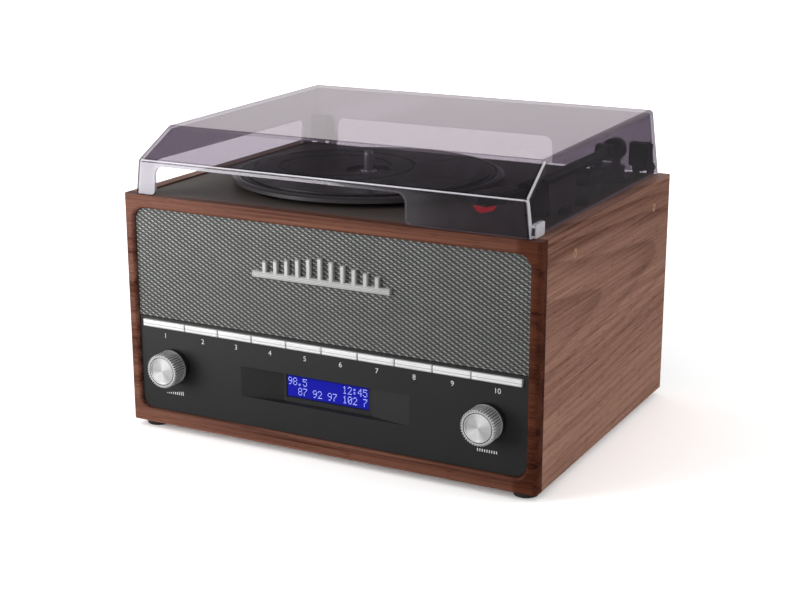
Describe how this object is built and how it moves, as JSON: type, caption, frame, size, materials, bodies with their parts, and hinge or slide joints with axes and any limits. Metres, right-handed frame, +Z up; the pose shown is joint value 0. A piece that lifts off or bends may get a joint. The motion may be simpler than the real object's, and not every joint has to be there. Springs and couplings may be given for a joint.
{
  "type": "record player",
  "caption": "Tabletop record player with a wood-look cabinet, grille, push buttons, two knobs, blue display, platter, tonearm and a hinged smoked dust cover.",
  "frame": {"origin": "middle of the overall footprint, on the surface that the rubber feet stand on", "axes": "+X to the right seen from the front, +Y from the front to the back, +Z up"},
  "size_m": [0.32, 0.2676, 0.2209],
  "materials": {
    "wood_wrap": "satin walnut-look wrap with the grain running level",
    "raw_board": "bare fibreboard and softwood inside",
    "back_board": "black painted fibreboard",
    "rubber_black": "matt black rubber",
    "copper_screw": "copper-coloured screw head",
    "steel_screw": "plain zinc-plated steel",
    "grille_cloth": "silver-grey basket weave on black",
    "ornament_metal": "polished metal with fine lines",
    "panel_black": "satin black moulding with white figures",
    "button_silver": "silver-painted bar with two fine grooves",
    "knob_metal": "knurled bright metal",
    "knob_face_metal": "spun metal face",
    "display_blue": "lit blue display with pale figures",
    "circuit_board": "green circuit board with parts",
    "steel_part": "pressed plated steel",
    "brass_part": "turned brass",
    "magnet_dark": "dark sintered magnet",
    "cone_paper": "black paper cone",
    "deck_plastic": "satin charcoal moulding",
    "platter_plastic": "satin black moulding with a bright stepped rim",
    "mat_rubber": "charcoal rubber with rings and spokes",
    "spindle_chrome": "polished steel",
    "arm_black": "black moulding",
    "arm_metal": "dark anodised tube",
    "stylus_red": "clear red stylus holder",
    "cover_smoke": "smoked clear acrylic",
    "hinge_black": "black moulded hinge",
    "belt_rubber": "flat black rubber belt"
  },
  "bodies": {
    "cabinet": {"cabinet_front_frame": "wood_wrap", "cabinet_side_left": "wood_wrap", "cabinet_side_right": "wood_wrap", "cabinet_base": "wood_wrap", "cabinet_back": "back_board", "back_battens": "raw_board", "rubber_feet": "rubber_black", "side_screws": "copper_screw", "case_screws": "steel_screw", "speaker_baffle": "back_board", "grille_cloth": "grille_cloth", "grille_ornament": "ornament_metal", "speaker_baskets": "steel_part", "speaker_magnets": "magnet_dark", "speaker_cones": "cone_paper", "control_panel": "panel_black", "display_module": "display_blue", "front_circuit_board": "circuit_board", "rotary_controls": "steel_part", "deck_plate": "deck_plastic", "spindle_bearing": "brass_part", "drive_motor": "steel_part", "drive_belt": "belt_rubber", "tonearm_base": "arm_black", "arm_rest": "arm_black", "hinge_brackets": "hinge_black", "hinge_pins": "spindle_chrome", "main_circuit_board": "circuit_board", "jack_panel": "arm_black"},
    "volume_knob": {"volume_knob": "knob_metal", "volume_knob_face": "knob_face_metal", "volume_shaft": "brass_part"},
    "encoder_rotor": {"encoder_rotor": "brass_part"},
    "tuning_knob": {"tuning_knob": "knob_metal", "tuning_knob_face": "knob_face_metal", "tuning_shaft": "brass_part"},
    "platter": {"platter": "platter_plastic", "platter_mat": "mat_rubber", "spindle": "spindle_chrome"},
    "motor_pulley": {"motor_pulley": "brass_part"},
    "tonearm_gimbal": {"tonearm_gimbal": "arm_black"},
    "tonearm": {"tonearm_tube": "arm_metal", "headshell": "arm_black", "stylus": "stylus_red", "counterweight": "arm_black"},
    "cue_lever": {"cue_lever": "arm_black"},
    "speed_switch": {"speed_switch": "arm_black"},
    "auto_stop_switch": {"auto_stop_switch": "arm_black"},
    "dust_cover": {"dust_cover": "cover_smoke", "hinge_clips": "hinge_black"},
    "button_1": {"button_1": "button_silver"},
    "button_2": {"button_2": "button_silver"},
    "button_3": {"button_3": "button_silver"},
    "button_4": {"button_4": "button_silver"},
    "button_5": {"button_5": "button_silver"},
    "button_6": {"button_6": "button_silver"},
    "button_7": {"button_7": "button_silver"},
    "button_8": {"button_8": "button_silver"},
    "button_9": {"button_9": "button_silver"},
    "button_10": {"button_10": "button_silver"}
  },
  "joints": [
    {"name": "button_1_press", "type": "slide", "parent": "cabinet", "child": "button_1", "axis": [0, 1, 0], "range_m": [0, 0.0012], "stiffness_N_per_m": 400},
    {"name": "button_2_press", "type": "slide", "parent": "cabinet", "child": "button_2", "axis": [0, 1, 0], "range_m": [0, 0.0012], "stiffness_N_per_m": 400},
    {"name": "button_3_press", "type": "slide", "parent": "cabinet", "child": "button_3", "axis": [0, 1, 0], "range_m": [0, 0.0012], "stiffness_N_per_m": 400},
    {"name": "button_4_press", "type": "slide", "parent": "cabinet", "child": "button_4", "axis": [0, 1, 0], "range_m": [0, 0.0012], "stiffness_N_per_m": 400},
    {"name": "button_5_press", "type": "slide", "parent": "cabinet", "child": "button_5", "axis": [0, 1, 0], "range_m": [0, 0.0012], "stiffness_N_per_m": 400},
    {"name": "button_6_press", "type": "slide", "parent": "cabinet", "child": "button_6", "axis": [0, 1, 0], "range_m": [0, 0.0012], "stiffness_N_per_m": 400},
    {"name": "button_7_press", "type": "slide", "parent": "cabinet", "child": "button_7", "axis": [0, 1, 0], "range_m": [0, 0.0012], "stiffness_N_per_m": 400},
    {"name": "button_8_press", "type": "slide", "parent": "cabinet", "child": "button_8", "axis": [0, 1, 0], "range_m": [0, 0.0012], "stiffness_N_per_m": 400},
    {"name": "button_9_press", "type": "slide", "parent": "cabinet", "child": "button_9", "axis": [0, 1, 0], "range_m": [0, 0.0012], "stiffness_N_per_m": 400},
    {"name": "button_10_press", "type": "slide", "parent": "cabinet", "child": "button_10", "axis": [0, 1, 0], "range_m": [0, 0.0012], "stiffness_N_per_m": 400},
    {"name": "volume_turn", "type": "hinge", "parent": "cabinet", "child": "volume_knob", "pos_m": [-0.1235, 0, 0.05], "axis": [0, 1, 0], "range_deg": [-150, 150]},
    {"name": "tuning_turn", "type": "hinge", "parent": "cabinet", "child": "encoder_rotor", "pos_m": [0.1235, 0, 0.05], "axis": [0, 1, 0], "continuous": true},
    {"name": "tuning_press", "type": "slide", "parent": "encoder_rotor", "child": "tuning_knob", "axis": [0, 1, 0], "range_m": [0, 0.0008], "stiffness_N_per_m": 800},
    {"name": "platter_spin", "type": "hinge", "parent": "cabinet", "child": "platter", "pos_m": [-0.03, 0.00265, 0.1725], "axis": [0, 0, -1], "continuous": true},
    {"name": "pulley_spin", "type": "hinge", "parent": "cabinet", "child": "motor_pulley", "pos_m": [-0.08374, 0.05639, 0.1725], "axis": [0, 0, -1], "continuous": true},
    {"name": "tonearm_swing", "type": "hinge", "parent": "cabinet", "child": "tonearm_gimbal", "pos_m": [0.123, 0.08965, 0.1925], "axis": [0, 0, -1], "range_deg": [0, 41]},
    {"name": "tonearm_lift", "type": "hinge", "parent": "tonearm_gimbal", "child": "tonearm", "pos_m": [0.123, 0.08965, 0.1925], "axis": [-1, 0, 0], "range_deg": [0, 0.85]},
    {"name": "cue_lever_turn", "type": "hinge", "parent": "cabinet", "child": "cue_lever", "pos_m": [0.123, 0.04365, 0.1825], "axis": [-1, 0, 0], "range_deg": [0, 80]},
    {"name": "speed_select", "type": "slide", "parent": "cabinet", "child": "speed_switch", "axis": [0, 1, 0], "range_m": [0, 0.012]},
    {"name": "auto_stop_select", "type": "slide", "parent": "cabinet", "child": "auto_stop_switch", "axis": [0, 1, 0], "range_m": [0, 0.006]},
    {"name": "cover_hinge", "type": "hinge", "parent": "cabinet", "child": "dust_cover", "pos_m": [0, 0.13065, 0.176], "axis": [-1, 0, 0], "range_deg": [0, 75]}
  ],
  "couplings": [
    {"joint": "pulley_spin", "follows": "platter_spin", "ratio": 10},
    {"joint": "tonearm_lift", "follows": "cue_lever_turn", "ratio": 0.01}
  ]
}
